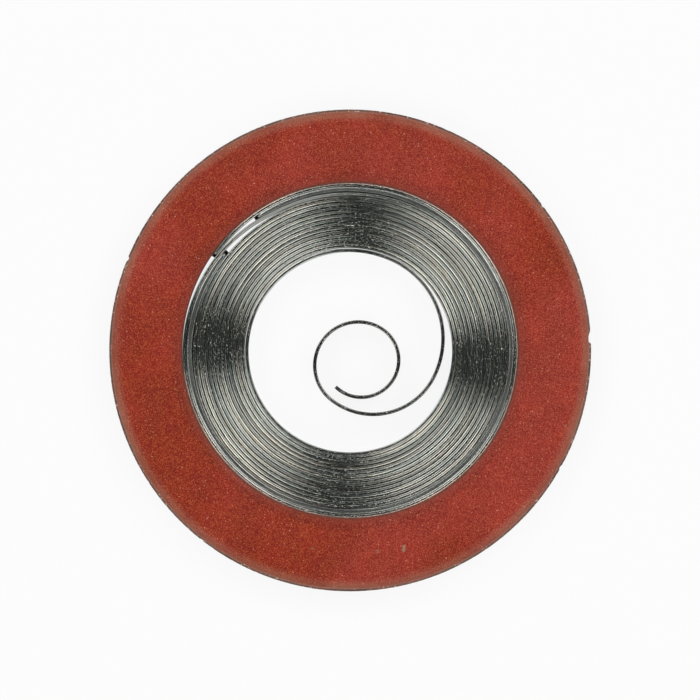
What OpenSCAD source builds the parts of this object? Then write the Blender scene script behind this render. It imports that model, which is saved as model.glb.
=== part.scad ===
// Mainspring of an automatic wristwatch, wound into the washer it is sold in.
// Millimetres. +Z points up to the painted face. The origin is on the axis of
// the bore, in the plane of the bottom faces.

/* [Retaining ring] */
// Bore of the washer, the same as the inside of the barrel it serves
bore_d = 10.5; // [10.3:0.05:12]
// Outside diameter of the washer
ring_d = 15.07; // [14.4:0.01:18]
// Thickness of the washer
ring_h = 1.3; // [1.2:0.05:2]
// How far the rolled shoulder reaches in from the bore
bore_roll_reach = 0.25; // [0.1:0.01:0.4]
// How far the rolled shoulder drops at the bore
bore_roll_drop = 0.1; // [0.05:0.01:0.2]
// How far the rolled shoulder reaches in from the outer edge
rim_roll_reach = 0.22; // [0.1:0.01:0.4]
// How far the rolled shoulder drops at the outer edge
rim_roll_drop = 0.14; // [0.05:0.01:0.2]
// Width of the bare slanting band outside the paint
rim_band_w = 0.075; // [0.03:0.005:0.12]
// Height of the bare slanting band
rim_band_h = 0.2; // [0.1:0.01:0.3]
// Height of the torn band that the punch leaves at the bottom
tear_h = 0.3; // [0.1:0.01:0.5]
// How far the torn band draws back from the cut face
tear_w = 0.03; // [0.01:0.005:0.06]

/* [Colour coat] */
// Thickness of the paint on the flat top
coat_t = 0.03; // [0.01:0.005:0.06]

/* [Mainspring blade] */
// Thickness of the blade
blade_t = 0.108; // [0.095:0.001:0.112]
// Height of the blade
blade_h = 1.2; // [1:0.05:1.2]
// Air between two packed turns
turn_air = 0.018; // [0.014:0.001:0.022]
// Whole turns in the pack
turns = 14; // [10:1:15]
// Air between the last turn and the bore
bore_air = 0.012; // [0.01:0.001:0.02]
// Direction of the blade's outer end
blade_end_angle = 145.7; // [144:0.1:150]
// Corner radius at the blade's outer end
blade_corner_r = 0.2; // [0.1:0.05:0.4]

/* [Step between turns] */
// Direction in which the outermost packed turn steps in to the next
step_angle = 140; // [130:1:150]
// How much later each further turn takes its step
step_drift = 1.5; // [0:0.1:2]
// Half the spread of that step
step_half = 80; // [70:1:85]
// Direction of the innermost turn's step, which lies open
inner_step_angle = 150; // [148:1:155]
// Half the spread of the innermost turn's step
inner_step_half = 90; // [86:1:95]

/* [Crossing over the bridle] */
// Where the blade leaves the pack
cross_from = 114; // [108:1:118]
// Where it has reached the bore
cross_to = 196; // [190:1:205]
// How much flatter the blade is in the first part of the crossing
cross_flat = 6.2; // [4:0.1:8]

/* [Free inner curl] */
// Radius of the first bend after the blade leaves the pack
curl_r1 = 2.685; // [2.4:0.005:2.8]
// Turn of the first bend
curl_turn1 = 87; // [75:1:95]
// Radius of the second bend
curl_r2 = 2.12; // [1.9:0.005:2.3]
// Turn of the second bend
curl_turn2 = 101; // [90:1:110]
// Radius of the third bend
curl_r3 = 1.365; // [1.25:0.005:1.5]
// Turn of the third bend
curl_turn3 = 171; // [160:1:180]
// Radius of the last bend, which grips the barrel arbor
curl_r4 = 1.165; // [1.05:0.005:1.25]
// Turn of the last bend
curl_turn4 = 195; // [180:1:205]

/* [Eye] */
// Length of the eye along the blade
eye_len = 0.8; // [0.6:0.05:1]
// Height of the eye
eye_h = 0.5; // [0.3:0.05:0.6]
// Blade left between the eye and the tip
eye_lip = 0.55; // [0.4:0.05:0.8]
// Corner radius at the inner tip
tip_corner_r = 0.4; // [0.2:0.05:0.55]
// How deep the round seat for the arbor is cut into the last bend
seat_cut = 0.004; // [0.003:0.001:0.008]

/* [Slipping bridle] */
// Thickness of the bridle
bridle_t = 0.155; // [0.14:0.001:0.17]
// Height of the bridle
bridle_h = 1.14; // [0.9:0.02:1.16]
// Air between the bridle and the last turn
lap_air = 0.012; // [0.01:0.001:0.016]
// Air between the bridle and the pack
pack_air = 0.026; // [0.02:0.001:0.032]
// Direction of the free end, which lies under the crossing
bridle_free_angle = 141; // [139:0.5:144]
// Direction of the end that lies between the last turn and the crossing
bridle_held_angle = 126; // [122:0.5:128]
// Corner radius at both ends
bridle_corner_r = 0.25; // [0.1:0.05:0.4]

/* [Spot welds] */
// Diameter of a weld
weld_d = 0.45; // [0.3:0.05:0.6]
// How deep a weld reaches into each strip
weld_bite = 0.05; // [0.03:0.005:0.06]
// Directions of the two welds
weld_angle_a = 104; // [100:1:107]
// Direction of the weld nearer the end
weld_angle_b = 116; // [112:1:118]

/* [Hidden] */
$fn = 180;
roll_steps = 8;
facet_angle = 6;
// What a cutter reaches past a strip's faces at an end, and how deep it goes
// through the curved strip at the eye without touching the next turn
cut_margin = 0.006;
eye_cut_depth = 4 * blade_t;

bore_r = bore_d / 2;
ring_r = ring_d / 2;
paint_r = ring_r - rim_band_w;
pitch = blade_t + turn_air;

// Middle lines of the last turn and of the pack's outermost turn, and the faces
// that bound the bridle between them
last_r = bore_r - bore_air - blade_t / 2;
bridle_out_r = last_r - blade_t / 2 - lap_air;
bridle_in_r = bridle_out_r - bridle_t;
pack_r = bridle_in_r - pack_air - blade_t / 2;

function unit(a) = [cos(a), sin(a)];
function direction(v) = atan2(v.y, v.x);
// Distance from the axis to a circle, looking along direction a
function reach(centre, r, a) =
    let (along = centre * unit(a)) along + sqrt(along * along - centre * centre + r * r);

// A turn steps in by one pitch on three centres: the axis, one towards the start
// of the step and one away from its end. The steps of successive turns nearly
// coincide, so the air between turns is nearly the same all round. The innermost
// turn takes a longer step, which opens it a little from the pack.
function step_middle(k) = k < turns - 1 ? step_angle - k * step_drift : inner_step_angle;
function half_of(k) = k < turns - 1 ? step_half : inner_step_half;
function shift_of(k) = pitch / (2 * (1 - cos(half_of(k))));
function start_of(k) = step_middle(k) + half_of(k);
function end_of(k) = step_middle(k) - half_of(k);
step_shift = shift_of(0);
step_start = start_of(0);
step_end = end_of(0);
leave_c = -step_shift * unit(step_end);
arrive_c = step_shift * unit(step_start);

// The crossing is two bends that meet smoothly. The flat one continues the pack
// and the tight one ends on the last turn. The tight one's offset follows from
// both being tangent.
flat_r = pack_r + step_shift + cross_flat;
flat_c = leave_c - cross_flat * unit(cross_from);
rise = last_r - pack_r - step_shift;
tight_shift = (2 * rise * cross_flat - rise * rise + leave_c * leave_c
        - 2 * cross_flat * (unit(cross_from) * leave_c))
    / (2 * cross_flat * (1 - cos(cross_to - cross_from)) - 2 * rise + 2 * (unit(cross_to) * leave_c));
tight_r = last_r - tight_shift;
tight_c = tight_shift * unit(cross_to);
cross_mid = direction(tight_c - flat_c);

// A bend is [centre, radius, first direction, last direction], the directions
// seen from its own centre. The path runs clockwise from the outer end to the tip.
last_turn = [[0, 0], last_r, blade_end_angle, cross_to - 360];
crossing = [
    [tight_c, tight_r, cross_to, cross_mid],
    [flat_c, flat_r, cross_mid, cross_from],
    [leave_c, pack_r + step_shift, cross_from, step_end]
];
pack = [for (k = [0:turns - 1]) let (r = pack_r - k * pitch, shift = shift_of(k)) each [
    [[0, 0], r, end_of(max(k - 1, 0)), start_of(k) - 360],
    [shift * unit(start_of(k)), r - shift, start_of(k), step_middle(k)],
    [-shift * unit(end_of(k)), r - pitch + shift, step_middle(k), end_of(k)]
]];
inner_r = pack_r - turns * pitch;
inner_end = end_of(turns - 1);

function bend_end(bend) = bend[0] + bend[1] * unit(bend[3]);
function next_bend(start, a, r, turn) = [start - r * unit(a), r, a, a - turn];
curl1 = next_bend(inner_r * unit(inner_end), inner_end, curl_r1, curl_turn1);
curl2 = next_bend(bend_end(curl1), curl1[3], curl_r2, curl_turn2);
curl3 = next_bend(bend_end(curl2), curl2[3], curl_r3, curl_turn3);
curl4 = next_bend(bend_end(curl3), curl3[3], curl_r4, curl_turn4);

path = concat([last_turn], crossing, pack, [curl1, curl2, curl3, curl4]);

// Points along a bend, a fixed angle apart, each pushed out from the middle line
function bend_points(bend, out) = let (steps = ceil((bend[2] - bend[3]) / facet_angle))
    [for (i = [0:steps - 1])
        bend[0] + (bend[1] + out) * unit(bend[2] + (bend[3] - bend[2]) * i / steps)];
function side_points(bends, out) = let (last = bends[len(bends) - 1]) concat(
    [for (bend = bends) each bend_points(bend, out)],
    [last[0] + (last[1] + out) * unit(last[3])]);
function reversed(list) = [for (i = [len(list) - 1:-1:0]) list[i]];
function strip_outline(bends, thick) =
    concat(side_points(bends, thick / 2), reversed(side_points(bends, -thick / 2)));

// Length of the strip, the least air between points of it that are more than
// half a turn apart, and the place and radius of the seat for the arbor
line = side_points(path, 0);
apart = ceil(180 / facet_angle);
function steps_length(points) = [for (i = [1:len(points) - 1]) norm(points[i] - points[i - 1])];
function total(list) = list * [for (value = list) 1];
least_air = min([for (i = [0:len(line) - 1]) for (j = [i + apart:1:len(line) - 1])
    norm(line[i] - line[j])]) - blade_t;
seat_r = curl_r4 - blade_t / 2 + seat_cut;
echo(strip_length = total(steps_length(line)), least_air = least_air);
echo(arbor_seat = curl4[0], seat_r = seat_r);

// The bridle's faces, as distances from the axis. Its free end thins between the
// crossing outside it and the pack inside it, and its held end between the last
// turn and the blade that leaves the pack.
free_in_r = reach(arrive_c, pack_r + blade_t / 2 - step_shift, bridle_free_angle) + lap_air;
free_shift = (bridle_in_r - free_in_r) / (1 - cos(step_start - bridle_free_angle));
held_in_r = reach(tight_c, tight_r + blade_t / 2, bridle_held_angle) + lap_air;
held_shift = (held_in_r - bridle_in_r) / (1 - cos(bridle_held_angle - step_end));
function bridle_outside(a) = a < cross_to
    ? reach(tight_c, tight_r - blade_t / 2 - lap_air, a) : bridle_out_r;
function bridle_inside(a) =
    a < step_start ? reach(free_shift * unit(step_start), bridle_in_r - free_shift, a)
    : a < step_end + 360 ? bridle_in_r
    : reach(-held_shift * unit(step_end), bridle_in_r + held_shift, a);
bridle_span = bridle_held_angle + 360 - bridle_free_angle;
bridle_steps = ceil(bridle_span / facet_angle);
bridle_angles = [for (i = [0:bridle_steps]) bridle_free_angle + bridle_span * i / bridle_steps];

// Outline of a washer between two heights, with a rolled shoulder at each edge.
// The coat is added in full on the flat and runs out to nothing at the edges.
function shoulder(edge_r, side, reach_w, drop, extra) = [for (i = [0:roll_steps])
    let (a = 90 * i / roll_steps)
    [edge_r + side * reach_w * (1 - cos(a)), ring_h - drop * (1 - sin(a)) + extra * sin(a)]];
function top_line(extra) = concat(
    shoulder(bore_r, 1, bore_roll_reach, bore_roll_drop, extra),
    reversed(shoulder(paint_r, -1, rim_roll_reach, rim_roll_drop, extra)));

// What is cut away to round the two corners of a strip's end. The strip's end
// face is at the origin, with the strip along -Y, and its thickness is along X.
module end_corners(corner_r, thick, low, high) {
    wide = thick + 2 * cut_margin;
    for (side = [0, 1])
        translate([-wide / 2, -corner_r, side == 0 ? low : high]) mirror([0, 0, side])
            difference() {
                translate([0, 0, -corner_r]) cube([wide, corner_r + cut_margin, 2 * corner_r]);
                translate([-wide, 0, corner_r]) rotate([0, 90, 0]) cylinder(r = corner_r, h = 2 * wide);
            }
}

module retaining_ring() {
    color("dimgray") rotate_extrude()
        polygon(concat(
            [[bore_r + tear_w, 0], [bore_r, tear_h]],
            top_line(0),
            [[ring_r, ring_h - rim_roll_drop - rim_band_h], [ring_r, tear_h], [ring_r - tear_w, 0]]));
}

module ring_enamel() {
    bottom = top_line(0);
    top = top_line(coat_t);
    color("firebrick") rotate_extrude()
        polygon(concat(bottom, [for (i = [len(top) - 2:-1:1]) top[i]]));
}

module eye_cut() {
    half = (eye_len - eye_h) / 2;
    translate([-eye_cut_depth / 2, 0, blade_h / 2]) {
        for (side = [-1, 1])
            translate([0, side * half, 0]) rotate([0, 90, 0]) cylinder(d = eye_h, h = eye_cut_depth);
        translate([0, -half, -eye_h / 2]) cube([eye_cut_depth, 2 * half, eye_h]);
    }
}

module mainspring_blade() {
    tip = bend_end(curl4);
    eye_angle = curl4[3] + (eye_lip + eye_len / 2) / curl_r4 * 180 / PI;
    eye = curl4[0] + curl_r4 * unit(eye_angle);
    outer_end = last_r * unit(blade_end_angle);
    color("silver") difference() {
        linear_extrude(blade_h) polygon(strip_outline(path, blade_t));
        translate([outer_end.x, outer_end.y, 0]) rotate([0, 0, blade_end_angle])
            end_corners(blade_corner_r, blade_t, 0, blade_h);
        translate([tip.x, tip.y, 0]) rotate([0, 0, curl4[3]]) mirror([0, 1, 0])
            end_corners(tip_corner_r, 3 * blade_t, 0, blade_h);
        translate([eye.x, eye.y, 0]) rotate([0, 0, eye_angle]) eye_cut();
        translate([curl4[0].x, curl4[0].y, -cut_margin])
            cylinder(r = seat_r, h = blade_h + 2 * cut_margin);
    }
}

module slipping_bridle() {
    low = (blade_h - bridle_h) / 2;
    high = low + bridle_h;
    free_end = free_in_r * unit(bridle_free_angle);
    held_end = held_in_r * unit(bridle_held_angle);
    color("lightslategray") difference() {
        translate([0, 0, low]) linear_extrude(bridle_h) polygon(concat(
            [for (a = bridle_angles) bridle_outside(a) * unit(a)],
            reversed([for (a = bridle_angles) bridle_inside(a) * unit(a)])));
        translate([held_end.x, held_end.y, 0]) rotate([0, 0, bridle_held_angle])
            end_corners(bridle_corner_r, 3 * bridle_t, low, high);
        translate([free_end.x, free_end.y, 0]) rotate([0, 0, bridle_free_angle]) mirror([0, 1, 0])
            end_corners(bridle_corner_r, 3 * bridle_t, low, high);
    }
}

module spot_welds() {
    depth = 2 * weld_bite + lap_air;
    color("gray") for (a = [weld_angle_a, weld_angle_b])
        rotate([0, 0, a]) translate([bridle_out_r - weld_bite, 0, blade_h / 2])
            rotate([0, 90, 0]) cylinder(d = weld_d, h = depth);
}

retaining_ring();
ring_enamel();
mainspring_blade();
slipping_bridle();
spot_welds();
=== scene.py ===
"""Looks of a wound watch mainspring in its red washer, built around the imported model.

Sizes are in millimetres and directions in degrees, as on the part's drawing. A length
is turned into metres where it goes into a mesh or a material.
"""
from bisect import bisect_right
from math import atan2, ceil, cos, degrees, pi, radians, sin, sqrt

import bmesh
import bpy
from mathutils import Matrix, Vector, noise


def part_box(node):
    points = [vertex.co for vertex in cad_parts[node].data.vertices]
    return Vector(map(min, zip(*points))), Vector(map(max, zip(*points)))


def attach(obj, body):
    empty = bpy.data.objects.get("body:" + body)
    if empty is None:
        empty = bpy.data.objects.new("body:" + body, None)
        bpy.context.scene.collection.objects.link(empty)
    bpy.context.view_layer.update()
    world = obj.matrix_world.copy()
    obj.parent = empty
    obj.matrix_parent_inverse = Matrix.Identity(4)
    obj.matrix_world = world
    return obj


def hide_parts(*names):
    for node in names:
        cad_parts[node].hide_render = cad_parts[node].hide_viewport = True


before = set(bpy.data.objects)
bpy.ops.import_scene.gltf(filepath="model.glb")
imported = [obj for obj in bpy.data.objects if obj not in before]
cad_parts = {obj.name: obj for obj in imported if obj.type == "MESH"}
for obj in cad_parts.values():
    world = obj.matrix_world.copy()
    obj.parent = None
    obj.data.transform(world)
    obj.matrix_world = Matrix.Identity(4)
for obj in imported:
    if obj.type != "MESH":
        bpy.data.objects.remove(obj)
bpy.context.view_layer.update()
MM = 0.001


def top_of(node):
    """Height of a node's highest point, in millimetres."""
    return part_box(node)[1].z / MM


# The washer and its paint
RING_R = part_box("retaining_ring")[1].x / MM
RING_H = top_of("retaining_ring")
COAT_T = top_of("ring_enamel") - RING_H
BORE_R = 5.25
BORE_ROLL_REACH = 0.25
BORE_ROLL_DROP = 0.1
RIM_ROLL_REACH = 0.22
RIM_ROLL_DROP = 0.14
RIM_BAND_W = 0.075
RIM_BAND_H = 0.2
TEAR_H = 0.3
TEAR_W = 0.03
PAINT_R = RING_R - RIM_BAND_W
BAND_TOP = RING_H - RIM_ROLL_DROP
BAND_FOOT = BAND_TOP - RIM_BAND_H

# The blade, and the steps from turn to turn. The innermost step and the crossing's end
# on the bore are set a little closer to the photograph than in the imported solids.
BLADE_H = top_of("mainspring_blade")
BLADE_T = 0.108
TURN_AIR = 0.018
TURNS = 14
BORE_AIR = 0.012
BLADE_END_ANGLE = 145.7
BLADE_CORNER_R = 0.2
TIP_CORNER_R = 0.4
STEP_ANGLE = 140
STEP_DRIFT = 1.5
STEP_HALF = 80
INNER_STEP_ANGLE = 135
INNER_STEP_HALF = 75
CROSS_FROM = 114
CROSS_TO = 186
CROSS_FLAT = 6.2
CURL_BENDS = [(2.685, 87), (2.12, 101), (1.365, 171), (1.165, 195)]
EYE_LEN = 0.8
EYE_H = 0.5
EYE_LIP = 0.55
PITCH = BLADE_T + TURN_AIR

# The bridle
BRIDLE_T = 0.155
BRIDLE_H = top_of("slipping_bridle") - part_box("slipping_bridle")[0].z / MM
LAP_AIR = 0.012
PACK_AIR = 0.026
BRIDLE_FREE_ANGLE = 141
BRIDLE_HELD_ANGLE = 126
BRIDLE_CORNER_R = 0.25

# The photograph: 700 pixels wide, 32 of them to a millimetre, looking straight down
PHOTO_WIDTH = 700
PIXELS_PER_MM = 32
PHOTO_MIDDLE = (350.2, 350.4)
CAMERA_HEIGHT = 400
SENSOR_WIDTH = 36


def place_camera():
    data = bpy.data.cameras.new("photo_view")
    data.sensor_width = SENSOR_WIDTH
    data.lens = SENSOR_WIDTH * CAMERA_HEIGHT * PIXELS_PER_MM / PHOTO_WIDTH
    data.clip_end = 100
    camera = bpy.data.objects.new("photo_view", data)
    right = (PHOTO_WIDTH / 2 - PHOTO_MIDDLE[0]) / PIXELS_PER_MM
    up = (PHOTO_MIDDLE[1] - PHOTO_WIDTH / 2) / PIXELS_PER_MM
    camera.location = Vector((right, up, BLADE_H + CAMERA_HEIGHT)) * MM
    bpy.context.scene.collection.objects.link(camera)
    bpy.context.scene.camera = camera


place_camera()


class Value:
    """One output of a node. Arithmetic on it adds Math nodes to the same tree."""

    def __init__(self, tree, socket):
        self.tree = tree
        self.socket = socket

    def __getitem__(self, output):
        return Value(self.tree, self.tree.find(self.socket.node.outputs, output))

    def __add__(self, other):
        return self.tree.math("ADD", self, other)

    def __sub__(self, other):
        return self.tree.math("SUBTRACT", self, other)

    def __rsub__(self, other):
        return self.tree.math("SUBTRACT", other, self)

    def __mul__(self, other):
        return self.tree.math("MULTIPLY", self, other)

    def __truediv__(self, other):
        return self.tree.math("DIVIDE", self, other)

    def __rtruediv__(self, other):
        return self.tree.math("DIVIDE", other, self)

    def __pow__(self, other):
        return self.tree.math("POWER", self, other)

    def __abs__(self):
        return self.tree.math("ABSOLUTE", self)

    __radd__ = __add__
    __rmul__ = __mul__


class Tree:
    """Adds nodes to one node tree."""

    def __init__(self, nodes):
        self.nodes = nodes

    def find(self, sockets, key):
        """A socket by its place, its identifier or its name."""
        if isinstance(key, int):
            return sockets[key]
        matches = [s for s in sockets if s.identifier == key]
        return (matches or [s for s in sockets if s.name == key])[0]

    def add(self, kind, settings=None, values=None, output=None):
        """Adds a node, sets it, fills its inputs, and returns its first usable output."""
        node = self.nodes.nodes.new(kind)
        for name, value in (settings or {}).items():
            setattr(node, name, value)
        for key, value in (values or {}).items():
            socket = self.find(node.inputs, key)
            if isinstance(value, Value):
                self.nodes.links.new(value.socket, socket)
            else:
                socket.default_value = value
        usable = [s for s in node.outputs if s.enabled]
        if output is not None:
            return Value(self, self.find(node.outputs, output))
        return Value(self, usable[0]) if usable else node

    def math(self, operation, *values):
        return self.add("ShaderNodeMath", {"operation": operation}, dict(enumerate(values)))

    def vector(self, operation, *values):
        return self.add("ShaderNodeVectorMath", {"operation": operation}, dict(enumerate(values)))

    def scaled(self, vector, size):
        return self.add("ShaderNodeVectorMath", {"operation": "SCALE"}, {0: vector, "Scale": size})

    def combined(self, x=0.0, y=0.0, z=0.0):
        return self.add("ShaderNodeCombineXYZ", {}, {"X": x, "Y": y, "Z": z})

    def ramp(self, value, low, high, start=0.0, end=1.0):
        """Goes smoothly from start, where value is low, to end, where it is high."""
        if low > high:
            low, high, start, end = high, low, end, start
        return self.add("ShaderNodeMapRange", {"interpolation_type": "SMOOTHSTEP"}, {
            "Value": value, "From Min": low, "From Max": high, "To Min": start, "To Max": end})

    def noise(self, vector, detail, roughness):
        """Noise from 0 to 1 whose features are about one unit of the vector wide."""
        return self.add("ShaderNodeTexNoise", {}, {
            "Vector": vector, "Scale": 1.0, "Detail": detail, "Roughness": roughness})

    def place(self):
        """Object coordinates, in metres."""
        return self.add("ShaderNodeTexCoord", {}, {}, "Object")

    def position(self):
        """Object coordinates, in metres, as three numbers."""
        return self.add("ShaderNodeSeparateXYZ", {}, {0: self.place()})

    def grain(self, fineness, detail=2.0, roughness=0.5, row=0.0):
        """Noise with so many grains to a millimetre, in each or in all three directions.
        Another row gives another noise."""
        if not isinstance(fineness, tuple):
            fineness = (fineness, fineness, fineness)
        vector = self.vector("MULTIPLY", self.place(), tuple(f / MM for f in fineness))
        if row:
            vector = self.vector("ADD", vector, (0.0, 0.0, row))
        return self.noise(vector, detail, roughness)

    def streaks(self, *pairs, detail=2.0, roughness=0.5, row=0.0):
        """Noise over up to three (value in metres, length of its features in millimetres)
        pairs. Another row gives another noise."""
        steps = [value * (1 / (length * MM)) for value, length in pairs]
        if row:
            steps[-1] = steps[-1] + row
        return self.noise(self.combined(*steps), detail, roughness)

    def glint_cells(self, fineness):
        """Random number from 0 to 1 for each cell, so many cells to a millimetre."""
        vector = self.scaled(self.place(), fineness / MM)
        chosen = self.add("ShaderNodeTexVoronoi", {}, {"Vector": vector, "Scale": 1.0}, "Color")
        return self.add("ShaderNodeSeparateXYZ", {}, {0: chosen})

    def mixed(self, factor, first, second, blend_type="MIX"):
        """Colour from first to second."""
        return self.add("ShaderNodeMix", {"data_type": "RGBA", "blend_type": blend_type}, {
            "Factor_Float": factor, "A_Color": first, "B_Color": second})

    def dimmed(self, tone, level):
        """Colour times a level."""
        return self.mixed(1.0, tone, self.combined(level, level, level), "MULTIPLY")

    def attribute(self, name):
        return self.add("ShaderNodeAttribute", {"attribute_name": name}, {}, "Fac")


def colour(red, green, blue):
    return (red, green, blue, 1.0)


def grey(level):
    return colour(level, level, level)


def new_material(name):
    """An empty material with its Tree."""
    material = bpy.data.materials.new(name)
    material.use_nodes = True
    material.node_tree.nodes.clear()
    return material, Tree(material.node_tree)


def close_surface(tree, shader):
    """Joins a shader to the material's output."""
    tree.add("ShaderNodeOutputMaterial", {}, {"Surface": shader})


def close_solid(tree, height, depth, values, strength=1.0):
    """Joins a principled shader with these values to the material's output. Its bump
    follows the height and is so many millimetres deep."""
    bump = tree.add("ShaderNodeBump", {}, {
        "Strength": strength, "Distance": depth * MM, "Height": height})
    shader = tree.add("ShaderNodeBsdfPrincipled", {}, {**values, "Normal": bump})
    close_surface(tree, shader)


# Directions and distances in the plane
def unit(angle):
    return Vector((cos(radians(angle)), sin(radians(angle))))


def direction(vector):
    return degrees(atan2(vector.y, vector.x))


def reach(centre, radius, angle):
    """Distance from the axis to a circle, looking along a direction."""
    along = centre.dot(unit(angle))
    return along + sqrt(along * along - centre.length_squared + radius * radius)


def clamped(value):
    return min(max(value, 0.0), 1.0)


def between(points, at):
    """Value at a place along straight lines through (place, value) points."""
    number = bisect_right(points, (at,)) or 1
    (low, start), (high, end) = points[number - 1:number + 1]
    return start + (end - start) * (at - low) / (high - low)


# The blade's route, as bends of a constant radius. Each bend is (centre, radius, first
# direction, last direction), and it runs clockwise from the outer end to the inner tip.
LAST_R = BORE_R - BORE_AIR - BLADE_T / 2
BRIDLE_OUT_R = LAST_R - BLADE_T / 2 - LAP_AIR
BRIDLE_IN_R = BRIDLE_OUT_R - BRIDLE_T
PACK_R = BRIDLE_IN_R - PACK_AIR - BLADE_T / 2


def step_of(turn):
    """Middle direction of a turn's step, and half its spread."""
    if turn == TURNS - 1:
        return INNER_STEP_ANGLE, INNER_STEP_HALF
    return STEP_ANGLE - turn * STEP_DRIFT, STEP_HALF


def step_bounds(turn):
    """Start and end of a turn's step, and the shift of its two centres."""
    middle, half = step_of(turn)
    return middle + half, middle - half, PITCH / (2 * (1 - cos(radians(half))))


# Followed outwards, the crossing leaves the pack where the first step ends, is flatter
# from CROSS_FROM on, and then bends tightly until it touches the last turn at CROSS_TO.
STEP_START, STEP_END, STEP_SHIFT = step_bounds(0)
LEAVE_CENTRE = -STEP_SHIFT * unit(STEP_END)
FLAT_R = PACK_R + STEP_SHIFT + CROSS_FLAT
FLAT_CENTRE = LEAVE_CENTRE - CROSS_FLAT * unit(CROSS_FROM)
RISE = LAST_R - PACK_R - STEP_SHIFT
TIGHT_SHIFT = (
    2 * RISE * CROSS_FLAT - RISE**2 + LEAVE_CENTRE.length_squared
    - 2 * CROSS_FLAT * unit(CROSS_FROM).dot(LEAVE_CENTRE)
) / (
    2 * CROSS_FLAT * (1 - cos(radians(CROSS_TO - CROSS_FROM)))
    - 2 * RISE + 2 * unit(CROSS_TO).dot(LEAVE_CENTRE)
)
TIGHT_R = LAST_R - TIGHT_SHIFT
TIGHT_CENTRE = TIGHT_SHIFT * unit(CROSS_TO)
CROSS_MIDDLE = direction(TIGHT_CENTRE - FLAT_CENTRE)


def packed_turn(turn):
    """The bends of one turn of the pack."""
    radius = PACK_R - turn * PITCH
    start, end, shift = step_bounds(turn)
    came_from = step_bounds(max(turn - 1, 0))[1]
    return [
        (Vector((0, 0)), radius, came_from, start - 360),
        (shift * unit(start), radius - shift, start, step_of(turn)[0]),
        (-shift * unit(end), radius - PITCH + shift, step_of(turn)[0], end),
    ]


def curl():
    """The free bends after the pack, each tangent to the one before."""
    angle = step_bounds(TURNS - 1)[1]
    place = (PACK_R - TURNS * PITCH) * unit(angle)
    bends = []
    for radius, turn in CURL_BENDS:
        centre = place - radius * unit(angle)
        bends.append((centre, radius, angle, angle - turn))
        angle -= turn
        place = centre + radius * unit(angle)
    return bends


def length_of(bends):
    return sum(radius * radians(first - last) for _, radius, first, last in bends)


LAST_TURN = [(Vector((0, 0)), LAST_R, BLADE_END_ANGLE, CROSS_TO - 360)]
CROSSING = [
    (TIGHT_CENTRE, TIGHT_R, CROSS_TO, CROSS_MIDDLE),
    (FLAT_CENTRE, FLAT_R, CROSS_MIDDLE, CROSS_FROM),
    (LEAVE_CENTRE, PACK_R + STEP_SHIFT, CROSS_FROM, STEP_END),
]
PACK = [bend for turn in range(TURNS) for bend in packed_turn(turn)]
INNERMOST = len(packed_turn(TURNS - 1))
ROUTE = LAST_TURN + CROSSING + PACK + curl()

# Distances from the outer end at which each part of the route ends
LAST_LENGTH = length_of(LAST_TURN)
CROSSED_LENGTH = length_of(LAST_TURN + CROSSING)
INNER_LENGTH = length_of(LAST_TURN + CROSSING + PACK[:-INNERMOST])
PACKED_LENGTH = length_of(LAST_TURN + CROSSING + PACK)
BLADE_LENGTH = length_of(ROUTE)
ROUTE_STARTS = [length_of(ROUTE[:i]) for i in range(len(ROUTE))]


def blade_at(distance):
    """Place on the blade's middle line and the direction away from the bend's centre."""
    number = bisect_right(ROUTE_STARTS, distance) - 1
    centre, radius, first, _ = ROUTE[number]
    angle = first - degrees((distance - ROUTE_STARTS[number]) / radius)
    return centre + radius * unit(angle), unit(angle)


# Stations along the strips: the angle from one to the next, the steps round a corner,
# and the least distance between two of them
STATION_ANGLE = 2
CORNER_STEPS = 7
SHORTEST_STEP = BLADE_T / 40


def corner_stations(corner_r):
    """Distances from an end at which a round corner is drawn."""
    return [corner_r * (1 - cos(pi / 2 * i / CORNER_STEPS)) for i in range(CORNER_STEPS + 1)]


def corner_height(distance, corner_r, height):
    """Share of the full height that a strip has near an end with round corners."""
    short = max(corner_r - distance, 0)
    return 1 - 2 * (corner_r - sqrt(corner_r**2 - short**2)) / height


def strip_path(name, stations):
    """Mesh of a strip's middle line. A station is (place, outward, values by name)."""
    mesh = bpy.data.meshes.new(name)
    places = [(place.x * MM, place.y * MM, BLADE_H / 2 * MM) for place, _, _ in stations]
    mesh.from_pydata(places, [(i, i + 1) for i in range(len(places) - 1)], [])
    outward = mesh.attributes.new("outward", "FLOAT_VECTOR", "POINT")
    flat = [number for _, away, _ in stations for number in (away.x, away.y, 0.0)]
    outward.data.foreach_set("vector", flat)
    for key in stations[0][2]:
        values = mesh.attributes.new(key, "FLOAT", "POINT")
        values.data.foreach_set("value", [station[2][key] for station in stations])
    return mesh


# Lengths over which the blade changes: the crossing settles on the pack, the curl gets
# its free look, the outer end darkens with painted shade, and the inner tip gets its grey
SETTLING = 4.6
FREE_FADE = 0.6
DARK_END = LAST_R * radians(20)
TIP_FADE = 0.1
# How hard the innermost turn presses on its neighbour, by the distance from its end
INNER_PRESS = [(0, 0), (1.6, 0), (2.4, 1.4), (3.0, 2.2), (4.6, 2.2), (5.4, 0.2), (7.4, 0.2),
               (8.6, 0.6), (100, 0.6)]


def pressed(distance):
    """How hard the blade presses on its neighbours: 0 where it is free, 1 in the pack,
    and as in INNER_PRESS in the innermost turn."""
    if distance < CROSSED_LENGTH:
        return clamped(1 - (CROSSED_LENGTH - distance) / SETTLING)
    if distance < INNER_LENGTH:
        return 1.0
    if distance < PACKED_LENGTH:
        return between(INNER_PRESS, PACKED_LENGTH - distance)
    return 0.0


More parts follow.
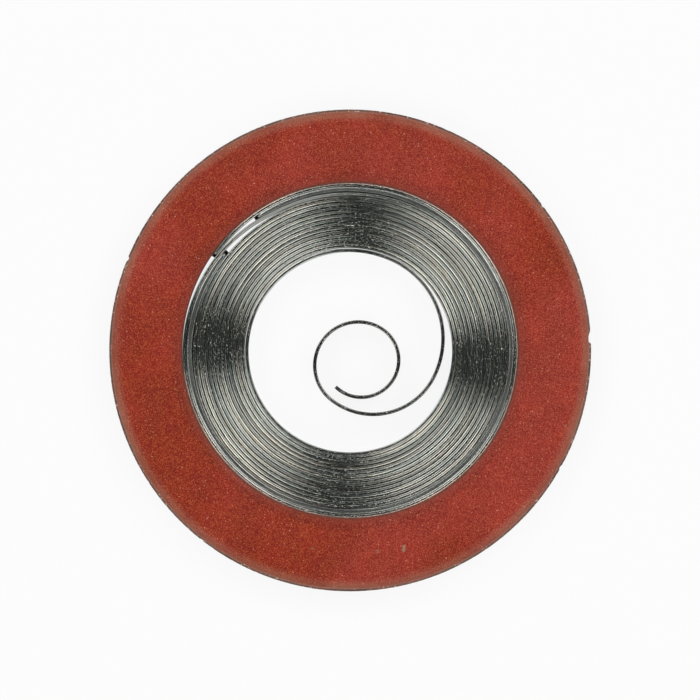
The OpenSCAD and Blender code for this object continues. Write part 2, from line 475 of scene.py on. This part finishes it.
def blade_stations():
    """Stations every few degrees, closer together at the round corners of both ends."""
    distances = set()
    for start, (_, radius, first, last) in zip(ROUTE_STARTS, ROUTE):
        count = ceil((first - last) / STATION_ANGLE)
        length = radius * radians(first - last)
        distances.update(start + length * i / count for i in range(count))
    distances.update(corner_stations(BLADE_CORNER_R))
    distances.update(BLADE_LENGTH - d for d in corner_stations(TIP_CORNER_R))
    kept = []
    for distance in sorted(distances):
        if not kept or distance - kept[-1] > SHORTEST_STEP:
            kept.append(distance)
    stations = []
    for distance in kept:
        place, outward = blade_at(distance)
        to_tip = BLADE_LENGTH - distance
        packed = pressed(distance)
        stations.append((place, outward, {
            "along": distance * MM,
            "tall": min(corner_height(distance, BLADE_CORNER_R, BLADE_H),
                        corner_height(to_tip, TIP_CORNER_R, BLADE_H)),
            "thin": 1.0,
            "packed": packed,
            "free": clamped((distance - PACKED_LENGTH) / FREE_FADE),
            "at_end": clamped(1 - distance / DARK_END),
            "outer": float(distance < LAST_LENGTH),
            "tip": clamped((TIP_CORNER_R - to_tip) / TIP_FADE),
            "beside_shade": packed * float(distance < CROSSED_LENGTH + 2 * pi * PACK_R),
        }))
    return stations


# The bridle's faces, as distances from the axis
ARRIVE_CENTRE = STEP_SHIFT * unit(STEP_START)
FREE_IN_R = LAP_AIR + reach(
    ARRIVE_CENTRE, PACK_R + BLADE_T / 2 - STEP_SHIFT, BRIDLE_FREE_ANGLE)
FREE_SHIFT = (BRIDLE_IN_R - FREE_IN_R) / (1 - cos(radians(STEP_START - BRIDLE_FREE_ANGLE)))


def crossing_at(angle):
    """Distance from the axis to the crossing's middle line, looking along a direction."""
    for centre, radius, _, last in CROSSING:
        distance = reach(centre, radius, angle)
        if direction(distance * unit(angle) - centre) > last:
            break
    return distance


def bridle_outside(angle):
    if angle < CROSS_TO:
        return reach(TIGHT_CENTRE, TIGHT_R - BLADE_T / 2 - LAP_AIR, angle)
    return BRIDLE_OUT_R


def bridle_inside(angle):
    if angle < STEP_START:
        return reach(FREE_SHIFT * unit(STEP_START), BRIDLE_IN_R - FREE_SHIFT, angle)
    if angle < STEP_END + 360:
        return BRIDLE_IN_R
    share = (angle - 360 - STEP_END) / (BRIDLE_HELD_ANGLE - STEP_END)
    air = PACK_AIR + (LAP_AIR - PACK_AIR) * share
    return crossing_at(angle - 360) + BLADE_T / 2 + air


# Distance from either end past which the bridle fills the space between its neighbours
BRIDLE_TIGHT_FROM = 1.6


def bridle_stations():
    """Stations from the free end round to the held end, closer together at the ends."""
    span = BRIDLE_HELD_ANGLE + 360 - BRIDLE_FREE_ANGLE
    count = ceil(span / STATION_ANGLE)
    turn = degrees(1 / BRIDLE_OUT_R)
    angles = {BRIDLE_FREE_ANGLE + span * i / count for i in range(1, count)}
    for distance in corner_stations(BRIDLE_CORNER_R):
        angles.add(BRIDLE_FREE_ANGLE + distance * turn)
        angles.add(BRIDLE_HELD_ANGLE + 360 - distance * turn)
    stations = []
    for angle in sorted(angles):
        inside, outside = bridle_inside(angle), bridle_outside(angle)
        to_end = min(angle - BRIDLE_FREE_ANGLE, BRIDLE_HELD_ANGLE + 360 - angle) / turn
        stations.append(((inside + outside) / 2 * unit(angle), unit(angle), {
            "along": (angle - BRIDLE_FREE_ANGLE) / turn * MM,
            "tall": corner_height(to_end, BRIDLE_CORNER_R, BRIDLE_H),
            "thin": (outside - inside) / BRIDLE_T,
            "packed": min(to_end / BRIDLE_TIGHT_FROM, 1.0),
            "at_end": max(1 - to_end / BRIDLE_CORNER_R, 0.0),
        }))
    return stations


# Edges that turn by more than this stay sharp
SHARP_ANGLE = 40


def form_group(name, sizes):
    """A Geometry Nodes group that takes a path, sizes and a finish."""
    group = bpy.data.node_groups.new(name, "GeometryNodeTree")
    sockets = group.interface
    sockets.new_socket("Form", in_out="OUTPUT", socket_type="NodeSocketGeometry")
    sockets.new_socket("Path", in_out="INPUT", socket_type="NodeSocketGeometry")
    for label, kind in sizes.items():
        sockets.new_socket(label, in_out="INPUT", socket_type="NodeSocket" + kind)
    tree = Tree(group)
    return group, tree, tree.add("NodeGroupInput")


def named(tree, name, data_type="FLOAT"):
    return tree.add("GeometryNodeInputNamedAttribute", {"data_type": data_type}, {"Name": name})


def stored(tree, geometry, name, value, data_type="FLOAT"):
    return tree.add("GeometryNodeStoreNamedAttribute", {"data_type": data_type}, {
        "Geometry": geometry, "Name": name, "Value": value})


def finished_form(tree, geometry, finish):
    """Shades round edges smoothly and sharp ones sharply, and gives the finish."""
    angle = tree.add("GeometryNodeInputMeshEdgeAngle")
    smooth = tree.add("FunctionNodeCompare", {"operation": "LESS_THAN"}, {
        "A": angle, "B": radians(SHARP_ANGLE)})
    geometry = tree.add("GeometryNodeSetShadeSmooth", {}, {
        "Geometry": geometry, "Shade Smooth": True})
    geometry = tree.add("GeometryNodeSetShadeSmooth", {"domain": "EDGE"}, {
        "Geometry": geometry, "Shade Smooth": smooth})
    geometry = tree.add("GeometryNodeRealizeInstances", {}, {"Geometry": geometry})
    geometry = tree.add("GeometryNodeSetMaterial", {}, {
        "Geometry": geometry, "Material": finish})
    tree.add("NodeGroupOutput", {}, {"Form": geometry})


# Steps round each edge of a strip's section, and cuts across each of its broad faces
FILLET_STEPS = 4
FACE_CUTS = 3


def strip_group():
    """A strip of rounded section swept along its path. Where it is packed it is a little
    thicker at half height, as turns that press on each other look, and it wanders slightly
    in and out and up and down."""
    group, t, given = form_group("swept_strip", {
        "Thickness": "Float", "Height": "Float", "Edge Radius": "Float", "Bulge": "Float",
        "Wander": "Float", "Lift": "Float", "Roll": "Float", "Seed": "Float",
        "Finish": "Material"})
    thickness, height = given["Thickness"], given["Height"]

    curve = t.add("GeometryNodeMeshToCurve", {}, {"Mesh": given["Path"]})
    curve = t.add("GeometryNodeSetCurveNormal", {"mode": "Z_UP"}, {"Curve": curve})
    curve = stored(t, curve, "centre", t.add("GeometryNodeInputPosition"), "FLOAT_VECTOR")

    section = t.add("GeometryNodeCurvePrimitiveQuadrilateral", {}, {
        "Width": height, "Height": thickness})
    section = t.add("GeometryNodeFilletCurve", {"mode": "POLY"}, {
        "Curve": section, "Count": FILLET_STEPS, "Radius": given["Edge Radius"]})
    at = t.add("GeometryNodeSplineParameter")["Length"]
    number = t.add("GeometryNodeInputIndex")
    following = t.add("GeometryNodeFieldAtIndex", {}, {"Value": at, "Index": number + 1.0})
    is_face = t.math("GREATER_THAN", following - at, height * 0.5)
    section = t.add("GeometryNodeSubdivideCurve", {}, {
        "Curve": section, "Cuts": is_face * FACE_CUTS})
    section = t.add("GeometryNodeTransform", {}, {
        "Geometry": section, "Rotation": (0, 0, pi / 2)})

    strip = t.add("GeometryNodeCurveToMesh", {}, {
        "Curve": curve, "Profile Curve": section, "Fill Caps": True})

    place = t.add("GeometryNodeInputPosition")
    outward = named(t, "outward", "FLOAT_VECTOR")
    away = t.vector("SUBTRACT", place, named(t, "centre", "FLOAT_VECTOR"))
    across = t.add("ShaderNodeVectorMath", {"operation": "DOT_PRODUCT"}, {
        0: away, 1: outward}, "Value")
    up = t.add("ShaderNodeSeparateXYZ", {}, {0: away})["Z"]
    strip = stored(t, strip, "across", across / (thickness * 0.5))
    strip = stored(t, strip, "up", up / (height * 0.5))
    across, up = named(t, "across"), named(t, "up")
    along, packed = named(t, "along"), named(t, "packed")

    def wave(length, row):
        """Noise from 0 to 1 whose waves are so many millimetres long."""
        vector = t.combined(along * (1 / (length * MM)), given["Seed"], row)
        return t.noise(vector, 1.0, 0.5)

    drift, lift, roll = wave(9, 0.5), wave(13, 7.5), wave(11, 13.5)
    bulge = (1 - up * up) * given["Bulge"] * packed
    move_out = across * (thickness * 0.5) * (named(t, "thin") - 1) + across * bulge
    move_out = move_out + (drift * 2 - 1) * given["Wander"] * packed
    move_up = up * (height * 0.5) * (named(t, "tall") - 1) + lift * given["Lift"] * packed
    move_up = move_up + (roll * 2 - 1) * given["Roll"] * across * up * packed
    offset = t.vector("ADD", t.scaled(outward, move_out), t.combined(z=move_up))
    strip = t.add("GeometryNodeSetPosition", {}, {"Geometry": strip, "Offset": offset})
    finished_form(t, strip, given["Finish"])
    return group


def grown(name, path, group, sizes):
    """The plain mesh object that a group makes of a path."""
    piece = bpy.data.objects.new(name, path)
    bpy.context.scene.collection.objects.link(piece)
    modifier = piece.modifiers.new("form", "NODES")
    modifier.node_group = group
    for item in group.interface.items_tree:
        if item.name in sizes:
            modifier[item.identifier] = sizes[item.name]
    evaluated = piece.evaluated_get(bpy.context.evaluated_depsgraph_get())
    made = bpy.data.meshes.new_from_object(evaluated)
    made.name = name
    piece.modifiers.remove(modifier)
    piece.data = made
    return piece


# Steps round each end of the eye
EYE_STEPS = 12


def cut_eye(blade):
    """Cuts the round-ended slot near the blade's tip, square to the strip."""
    middle, outward = blade_at(BLADE_LENGTH - EYE_LIP - EYE_LEN / 2)
    sideways = Vector((-outward.y, outward.x))
    half = (EYE_LEN - EYE_H) / 2
    rim = []
    for end in (1, -1):
        for i in range(EYE_STEPS + 1):
            turn = unit(90 * end - 180 * i / EYE_STEPS) * EYE_H / 2
            rim.append((end * (half + abs(turn.x)), turn.y))
    cutter_mesh = bmesh.new()
    layers = []
    for depth in (-2 * BLADE_T, 2 * BLADE_T):
        layer = []
        for side, up in rim:
            spot = middle + outward * depth + sideways * side
            spot = Vector((spot.x, spot.y, BLADE_H / 2 + up))
            layer.append(cutter_mesh.verts.new(spot * MM))
        layers.append(layer)
        cutter_mesh.faces.new(layer)
    for i in range(len(rim)):
        j = (i + 1) % len(rim)
        cutter_mesh.faces.new((layers[0][i], layers[0][j], layers[1][j], layers[1][i]))
    bmesh.ops.recalc_face_normals(cutter_mesh, faces=cutter_mesh.faces)
    mesh = bpy.data.meshes.new("eye_cutter")
    cutter_mesh.to_mesh(mesh)
    cutter_mesh.free()
    cutter = bpy.data.objects.new("eye_cutter", mesh)
    bpy.context.scene.collection.objects.link(cutter)
    modifier = blade.modifiers.new("eye", "BOOLEAN")
    modifier.object = cutter
    modifier.operation = "DIFFERENCE"
    modifier.solver = "MANIFOLD"
    evaluated = blade.evaluated_get(bpy.context.evaluated_depsgraph_get())
    made = bpy.data.meshes.new_from_object(evaluated)
    blade.modifiers.remove(modifier)
    blade.data = made
    bpy.data.objects.remove(cutter)


# Steps along a rolled edge, down the slanting band and down the wall below it, and round
# the axis
ROLL_STEPS = 10
BAND_STEPS = 4
WALL_STEPS = 3
LATHE_STEPS = 1080


def top_line():
    """The washer's top as (distance from the axis, height, share of the full coat), from
    its bore over both rolled edges to the foot of the paint at the rim."""
    angles = [pi / 2 * i / ROLL_STEPS for i in range(ROLL_STEPS + 1)]
    line = []
    for angle in angles:
        line.append((BORE_R + BORE_ROLL_REACH * (1 - cos(angle)),
                     RING_H - BORE_ROLL_DROP * (1 - sin(angle)), sin(angle)))
    for angle in reversed(angles):
        line.append((PAINT_R - RIM_ROLL_REACH * (1 - cos(angle)),
                     RING_H - RIM_ROLL_DROP * (1 - sin(angle)), sin(angle)))
    return line


def washer_section():
    """Section of the washer as (distance from the axis, height), from its bore's foot up,
    over the top and down to the rim's foot."""
    section = [(BORE_R + TEAR_W, 0), (BORE_R, TEAR_H), (BORE_R, (TEAR_H + RING_H) / 2)]
    section += [(distance, height) for distance, height, _ in top_line()]
    for i in range(1, BAND_STEPS + 1):
        share = i / BAND_STEPS
        section.append((PAINT_R + RIM_BAND_W * share, BAND_TOP - RIM_BAND_H * share))
    for i in range(1, WALL_STEPS + 1):
        section.append((RING_R, BAND_FOOT + (TEAR_H - BAND_FOOT) * i / WALL_STEPS))
    section.append((RING_R - TEAR_W, 0))
    return section


def coat_section():
    """Section of the paint: the washer's top line and the same line a coat higher, which
    runs out to nothing at both edges."""
    line = top_line()
    under = [(distance, height) for distance, height, _ in line]
    over = [(distance, height + COAT_T * share) for distance, height, share in line]
    return over + under[-2:0:-1]


# The rim's roughness: its grains to a radian, its depth, and the level from which the
# noise shows
ROUGH_FINENESS = 90
ROUGH_DEPTH = 0.014
ROUGH_FROM = 0.05
# Bites in the washer's rim: direction, half of the width in degrees, depth. A bite drops
# off at once on its clockwise side and runs out slowly on the other.
BITES = [(3.15, 1.5, 0.075), (157.7, 0.7, 0.045), (37, 0.5, 0.025), (331, 0.6, 0.03),
         (232, 0.4, 0.025)]
# Powers that shape the two sides
BITE_DROP = 8
BITE_RUNOUT = 1.5


def rim_wear(distance, angle):
    """How far out the washer reaches at a direction: slightly rough, with a few bites."""
    x, y = cos(radians(angle)) * ROUGH_FINENESS, sin(radians(angle)) * ROUGH_FINENESS
    rough = noise.noise((x, y, 0.0))
    limit = RING_R - ROUGH_DEPTH * max(rough - ROUGH_FROM, 0)
    for middle, half, depth in BITES:
        off = ((angle - middle + 180) % 360 - 180) / half
        if abs(off) < 1:
            share = 1 - abs(off) ** (BITE_DROP if off < 0 else BITE_RUNOUT)
            limit = min(limit, RING_R - depth * share)
    return min(distance, limit)


def lathed(name, section, finish, wear=None):
    """A closed section turned round the axis. wear(distance, angle) limits how far out
    a point lies."""
    made = bmesh.new()
    rows = []
    for i in range(LATHE_STEPS):
        angle = 360 * i / LATHE_STEPS
        row = []
        for distance, height in section:
            if wear:
                distance = wear(distance, angle)
            spot = distance * unit(angle)
            row.append(made.verts.new(Vector((spot.x, spot.y, height)) * MM))
        rows.append(row)
    for i, row in enumerate(rows):
        following = rows[(i + 1) % LATHE_STEPS]
        for j in range(len(section)):
            k = (j + 1) % len(section)
            made.faces.new((row[j], following[j], following[k], row[k]))
    bmesh.ops.recalc_face_normals(made, faces=made.faces)
    for face in made.faces:
        face.smooth = True
    for edge in made.edges:
        edge.smooth = edge.calc_face_angle() < radians(SHARP_ANGLE)
    mesh = bpy.data.meshes.new(name)
    made.to_mesh(mesh)
    made.free()
    mesh.materials.append(finish)
    piece = bpy.data.objects.new(name, mesh)
    bpy.context.scene.collection.objects.link(piece)
    return piece


# Depth of the fine lines on both strips, and of the grain of paint, cuts and welds
LINE_DEPTH = 0.0021
GRAIN_DEPTH = 0.004
# Where the crossing is dull: the distances past the last turn at which it begins and is
# complete, and the distance past the crossing at which it has ended
DULL_FROM = 3.6
DULL_WHOLE = 5
DULL_OUT = 0.5


def blade_finish():
    """Drawn spring strip: fine lines along it, cool and warm patches, small glinting
    specks, and darker broad faces. Where it is not packed its edges have painted shade,
    darkest on the free curl, which also has a grey tip. The crossing is duller until it
    settles on the pack, whose outermost turn has painted shade on its outer edge. The last
    turn has a light middle, a painted warm reflection of the red bore along its outer edge,
    and painted shade at its end."""
    material, t = new_material("blade_alloy")
    along, across, up = t.attribute("along"), t.attribute("across"), t.attribute("up")
    packed, free, outer = t.attribute("packed"), t.attribute("free"), t.attribute("outer")
    at_end, tip = t.attribute("at_end"), t.attribute("tip")
    height = t.position()["Z"]
    side = across * (BLADE_T / 2 * MM)
    narrow = t.ramp(abs(up), 0.93, 0.955)
    edge = t.ramp(abs(across), 0.5, 0.85) * narrow

    lines = t.streaks((along, 3), (side, 0.012), (height, 0.012), detail=3.0, roughness=0.65)
    patches = t.streaks((along, 4), (side, BLADE_T / 1.4), (height, 1 / 3), detail=3.0)
    depth = t.streaks((along, 9), (side, BLADE_T / 3.2), (height, 0.5), row=40.0)
    spots = t.streaks((along, 0.07), (side, 0.03), (height, 0.04), detail=1.0)
    specks = t.ramp(spots, 0.66, 0.76) * narrow
    cool, warm = colour(0.62, 0.65, 0.605), colour(0.80, 0.775, 0.69)
    tone = t.mixed(t.ramp(patches, 0.42, 0.66), cool, warm)
    tone = t.dimmed(tone, t.ramp(depth, 0.25, 0.7, 0.6, 1.12) * (0.72 + lines * 0.55))

    # Painted shade: where the blade is not packed its top edges are darkened, least on the last
    # turn and most on the free curl.
    painted_shade = colour(0.038, 0.041, 0.038)
    loose = (1 - packed) * edge * (0.95 - outer * 0.55)
    tone = t.mixed(loose, tone, t.mixed(free, colour(0.13, 0.14, 0.13), painted_shade))
    # The free curl's top is a little darker, and painted shade darkens its edges further.
    tone = t.mixed(free * narrow * (0.1 + edge * 0.6), tone, colour(0.038, 0.041, 0.044))
    tone = t.mixed(outer * narrow * (1 - edge) * 0.6, tone, colour(0.98, 0.96, 0.90))
    tone = t.mixed((1 - narrow) * 0.55, tone, colour(0.20, 0.21, 0.205))

    # Painted reflection: a warm peach tone, as of the red bore, along the outer edge of the last
    # turn's top, broken into streaks; it is a little rougher there too.
    smears = t.ramp(t.streaks((along, 1.5), detail=3.0), 0.3, 0.5)
    painted_reflection = outer * narrow * t.ramp(across, 0.1, 0.5) * smears
    tone = t.mixed(painted_reflection * 0.9, tone, colour(0.88, 0.66, 0.54))
    # Painted shade: the outer end darkens, most on its outer side, and is black at its very end.
    shade = t.ramp(at_end, 0.15, 0.6) * t.ramp(across, -0.1, 0.5, 0.6, 0.85)
    tone = t.mixed(shade, tone, colour(0.16, 0.18, 0.155))
    tone = t.mixed(t.ramp(at_end, 0.86, 0.96) * 0.9, tone, grey(0.005))
    # Painted shade on the outer edge of the pack's outermost turn and of the crossing where it
    # settles.
    beside_shade = t.attribute("beside_shade") * t.ramp(across, 0.45, 0.8) * 0.45
    tone = t.mixed(beside_shade, tone, painted_shade)
    tone = t.mixed(t.ramp(tip, 0.0, 0.15) * 0.9, tone, colour(0.10, 0.105, 0.11))

    begun = t.ramp(along, (LAST_LENGTH + DULL_FROM) * MM, (LAST_LENGTH + DULL_WHOLE) * MM)
    ended = t.ramp(along, CROSSED_LENGTH * MM, (CROSSED_LENGTH + DULL_OUT) * MM)
    dull = (1 - packed) * begun * (1 - ended)
    roughness = 0.235 - narrow * 0.12 + lines * 0.05 + painted_reflection * 0.12 + tip * 0.4 + dull * 0.2
    close_solid(t, lines + specks * 3.5, LINE_DEPTH, {
        "Base Color": tone, "Metallic": 1.0, "Roughness": roughness})
    return material


def bridle_finish():
    """Plain grey strip with grooves, a painted highlight on its outer part, and painted
    shade at its edges and ends, which are black.
    """
    material, t = new_material("bridle_alloy")
    along, across, at_end = t.attribute("along"), t.attribute("across"), t.attribute("at_end")
    height = t.position()["Z"]
    side = across * (BRIDLE_T / 2 * MM)
    edge = abs(across)

    lines = t.streaks((along, 3), (side, 0.012), (height, 0.016), detail=3.0, roughness=0.65)
    wear = t.streaks((along, 4), (height, 0.5))
    stripes = t.streaks((along, 2), (side, 0.05), (height, 1), detail=3.0, roughness=0.6)
    grooves = t.math("SINE", across * 7.5 + wear * 6)
    tone = t.mixed(t.ramp(lines, 0.3, 0.7), colour(0.42, 0.45, 0.42), colour(0.72, 0.73, 0.68))
    # Painted highlight: the outer part of the top is lighter, in patches.
    light_edge = t.ramp(across, 0.15, 0.35) * t.ramp(wear, 0.3, 0.6, 0.2, 0.95)
    tone = t.mixed(light_edge, tone, colour(0.70, 0.70, 0.65))
    tone = t.dimmed(tone, t.ramp(stripes, 0.3, 0.7, 0.6, 1.4) * (grooves * 0.25 + 1))
    # Painted shade: the edges of the top are darkened, and the ends turn dark grey and then black
    # at the tip.
    tone = t.mixed(t.ramp(edge, 0.72, 0.92) * 0.5, tone, grey(0.03))
    tone = t.mixed(t.ramp(at_end, 0.0, 0.3) * 0.85, tone, grey(0.1))
    tone = t.mixed(t.ramp(at_end + edge * 0.3, 0.52, 0.66), tone, grey(0.006))
    close_solid(t, lines, LINE_DEPTH, {
        "Base Color": tone, "Metallic": 1.0, "Roughness": 0.2 + lines * 0.05})
    return material


def washer_finish():
    """Punched strip: bright and dark streaks down the cut, a rough dark tear below, and a
    slanting band at the rim with grime, bright flecks and smears of paint."""
    material, t = new_material("ring_steel")
    height = t.position()["Z"]
    streaks = t.grain((9, 9, 0.7))
    torn = t.ramp(height, (TEAR_H - 0.06) * MM, (TEAR_H + 0.02) * MM, 1.0, 0.0)
    tone = t.mixed(streaks, grey(0.15), colour(0.36, 0.35, 0.33))
    tone = t.mixed(torn * 0.7, tone, grey(0.08))

    band = t.ramp(height, (BAND_FOOT - 0.02) * MM, BAND_FOOT * MM)
    smears = t.grain((2.6, 2.6, 3), 3.0, 0.6)
    painted = t.ramp(height + (smears - 0.5) * (0.5 * MM),
                     (BAND_TOP - 0.15) * MM, (BAND_TOP - 0.02) * MM)
    grime = t.ramp(t.grain(0.4, row=5.0), 0.4, 0.6)
    flecks = t.ramp(t.grain((12, 12, 7)), 0.62, 0.69)
    bare = t.mixed(grime, colour(0.04, 0.031, 0.023), colour(0.125, 0.084, 0.064))
    bare = t.mixed(painted, bare, colour(0.205, 0.068, 0.046))
    bare = t.mixed(flecks, bare, colour(0.80, 0.66, 0.56))
    tone = t.mixed(band, tone, bare)
    close_solid(t, t.grain((30, 30, 9), 3.0, 0.6), GRAIN_DEPTH, {
        "Base Color": tone, "Metallic": 1.0, "Roughness": 0.38 + torn * 0.25,
        "Specular Tint": colour(0.88, 0.70, 0.64)})
    return material


# Chips in the paint: x, y, half of the width and height, and how bare they are
CHIPS = [(1.67, -6.2, 0.06, 0.13, 0.9), (0.86, -6.28, 0.07, 0.07, 0.4),
         (6.73, -2.35, 0.06, 0.05, 0.4), (-1.17, -6.19, 0.06, 0.05, 0.35)]


def enamel_finish():
    """Brick red paint with a fine gritty grain and rare painted glints. Painted reflection
    makes both rolled edges greyer, and painted shade darkens the paint towards the bore.
    """
    material, t = new_material("red_enamel")
    place = t.position()
    x, y = place["X"], place["Y"]
    radius = ((x * x + y * y) ** 0.5) * (1 / MM)
    grit = t.grain(44, 1.0, 0.6)
    clouds = t.grain(0.9, 3.0)
    blush = t.grain(0.24)
    hue = t.ramp(t.grain(2.6), 0.3, 0.7)

    tone = t.mixed(hue, colour(0.288, 0.0090, 0.0012), colour(0.288, 0.0155, 0.0))
    tone = t.mixed(t.ramp(blush, 0.35, 0.7) * 0.75, tone, colour(0.320, 0.026, 0.015))
    level = t.ramp(clouds, 0.3, 0.7, 0.89, 1.08) * t.ramp(blush, 0.3, 0.7, 0.92, 1.06)
    tone = t.dimmed(tone, level)

    # Painted reflection: the rolled rim is greyer and lighter towards its edge, in patches.
    rim_roll_reflection = t.ramp(radius, PAINT_R - 0.36, PAINT_R) * t.ramp(clouds, 0.3, 0.7, 0.5, 1.0)
    bore_roll_shade = t.ramp(radius, BORE_R + 0.14, BORE_R, 0.0, 0.6)
    # Painted shade: the paint darkens towards the bore over its last half millimetre, and the
    # rolled bore edge is darker and greyer with painted shade and reflection.
    tone = t.dimmed(tone, t.ramp(radius, BORE_R + 0.48, BORE_R + 0.24, 1.0, 0.8))
    tone = t.mixed(rim_roll_reflection, tone, colour(0.34, 0.125, 0.078))
    tone = t.mixed(bore_roll_shade, tone, colour(0.22, 0.068, 0.046))

    light = t.mixed(t.ramp(blush, 0.35, 0.65),
                    colour(0.98, 0.293, 0.095), colour(0.98, 0.285, 0.155))
    light = t.mixed(0.5, tone, light)
    tone = t.mixed(t.ramp(grit, 0.52, 0.2) * 0.75, tone, colour(0.01, 0.0, 0.0))
    tone = t.mixed(t.ramp(grit, 0.48, 0.8), tone, light)
    # Painted glints: rare bright dots in the paint.
    tone = t.mixed(t.ramp(t.glint_cells(36), 0.9955, 0.997) * 0.5, tone, colour(0.85, 0.42, 0.28))

    ragged = t.grain(12)
    primer = t.mixed(t.ramp(grit, 0.35, 0.65),
                     colour(0.20, 0.125, 0.06), colour(0.40, 0.25, 0.17))
    for chip_x, chip_y, half_w, half_h, bare in CHIPS:
        off_x = (x - chip_x * MM) * (1 / (half_w * MM))
        off_y = (y - chip_y * MM) * (1 / (half_h * MM))
        off = off_x * off_x + off_y * off_y + (ragged - 0.5) * 1.6
        tone = t.mixed(t.ramp(off, 0.6, 1.0, bare, 0.0), tone, primer)
    close_solid(t, grit, GRAIN_DEPTH, {
        "Base Color": tone, "Roughness": 0.5 - grit * 0.1, "Specular IOR Level": 0.25}, 0.7)
    return material


def weld_finish():
    """Fused metal with faint heat colours."""
    material, t = new_material("weld_metal")
    ripples = t.grain(12)
    tone = t.mixed(ripples, colour(0.26, 0.22, 0.18), colour(0.44, 0.41, 0.46))
    close_solid(t, ripples, GRAIN_DEPTH, {
        "Base Color": tone, "Metallic": 1.0, "Roughness": 0.35 + ripples * 0.15}, 0.8)
    return material


STRIP = strip_group()
BLADE_FORM = {
    "Thickness": BLADE_T * MM, "Height": BLADE_H * MM, "Edge Radius": 0.024 * MM,
    "Bulge": 0.0094 * MM, "Wander": 0.0015 * MM, "Lift": 0.012 * MM, "Roll": 0.002 * MM,
    "Seed": 3.0, "Finish": blade_finish()}
BRIDLE_FORM = {
    "Thickness": BRIDLE_T * MM, "Height": BRIDLE_H * MM, "Edge Radius": 0.02 * MM,
    "Bulge": 0.0145 * MM, "Wander": 0.0, "Lift": 0.0, "Roll": 0.0,
    "Seed": 5.0, "Finish": bridle_finish()}

blade = grown("coiled_blade", strip_path("blade_path", blade_stations()), STRIP, BLADE_FORM)
cut_eye(blade)
bridle = grown("bridle_strip", strip_path("bridle_path", bridle_stations()), STRIP, BRIDLE_FORM)
washer = lathed("punched_washer", washer_section(), washer_finish(), rim_wear)
coat = lathed("enamel_coat", coat_section(), enamel_finish())

for piece, node, body, slot in (
    (blade, "mainspring_blade", "spring", "blade_alloy"),
    (bridle, "slipping_bridle", "spring", "bridle_alloy"),
    (washer, "retaining_ring", "ring", "ring_steel"),
    (coat, "ring_enamel", "ring", "red_enamel"),
):
    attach(piece, body)
    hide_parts(node)

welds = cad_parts["spot_welds"]
welds.material_slots[0].material = weld_finish()

# Half of the floor's width and its depth below the part, in metres
FLOOR_HALF = 5.0
FLOOR_DEPTH = 0.00001
# Share of the floor that looks white whatever falls on it, and its brightness
FLOOR_WHITE = 0.88
FLOOR_LEVEL = 1.01


def pale_floor():
    """A pale floor that looks white to the camera and in reflections, and keeps a share
    of the object's shadow."""
    material, t = new_material("pale_floor")
    path = t.add("ShaderNodeLightPath")
    seen = t.math("MAXIMUM", path["Is Camera Ray"], path["Is Glossy Ray"])
    seen = t.math("MAXIMUM", seen, path["Is Transmission Ray"])
    matt = t.add("ShaderNodeBsdfDiffuse", {}, {"Color": grey(0.8)})
    white = t.add("ShaderNodeEmission", {}, {"Color": grey(1.0), "Strength": FLOOR_LEVEL})
    close_surface(t, t.add("ShaderNodeMixShader", {}, {
        "Fac": seen * FLOOR_WHITE, 1: matt, 2: white}))
    mesh = bpy.data.meshes.new("pale_floor")
    corners = [(x * FLOOR_HALF, y * FLOOR_HALF, -FLOOR_DEPTH)
               for x, y in ((-1, -1), (1, -1), (1, 1), (-1, 1))]
    mesh.from_pydata(corners, [], [(0, 1, 2, 3)])
    mesh.materials.append(material)
    floor = bpy.data.objects.new("pale_floor", mesh)
    bpy.context.scene.collection.objects.link(floor)


def dim_world():
    """Pale at and below the horizon, dim grey above it."""
    world = bpy.data.worlds.new("studio")
    world.use_nodes = True
    world.node_tree.nodes.clear()
    bpy.context.scene.world = world
    t = Tree(world.node_tree)
    way = t.add("ShaderNodeTexCoord", {}, {}, "Generated")
    up = t.add("ShaderNodeSeparateXYZ", {}, {0: way})["Z"]
    shade = t.mixed(t.ramp(up, 0.04, 0.12), grey(0.97), colour(0.0125, 0.0165, 0.0156))
    light = t.add("ShaderNodeBackground", {}, {"Color": shade, "Strength": 1.0})
    t.add("ShaderNodeOutputWorld", {}, {"Surface": light})


# Round softboxes: direction and brightness of each, then what all share, in degrees
# and metres
LAMPS = [(40.5, 2.25), (129, 2.02), (217.5, 1.82), (310.5, 1.62)]
LAMP_ELEVATION = 50
LAMP_DISTANCE = 0.3
LAMP_WIDTH = 0.208
LAMP_HEIGHT = 0.24


def softboxes():
    for azimuth, level in LAMPS:
        data = bpy.data.lights.new("softbox", "AREA")
        data.shape = "ELLIPSE"
        data.size = LAMP_WIDTH
        data.size_y = LAMP_HEIGHT
        data.energy = pi * LAMP_WIDTH * LAMP_HEIGHT * level
        lamp = bpy.data.objects.new("softbox", data)
        flat = unit(azimuth) * cos(radians(LAMP_ELEVATION))
        lamp.location = Vector((flat.x, flat.y, sin(radians(LAMP_ELEVATION)))) * LAMP_DISTANCE
        lamp.rotation_euler = lamp.location.to_track_quat("Z", "Y").to_euler()
        bpy.context.scene.collection.objects.link(lamp)


pale_floor()
dim_world()
softboxes()
bpy.context.scene.view_settings.view_transform = "Standard"
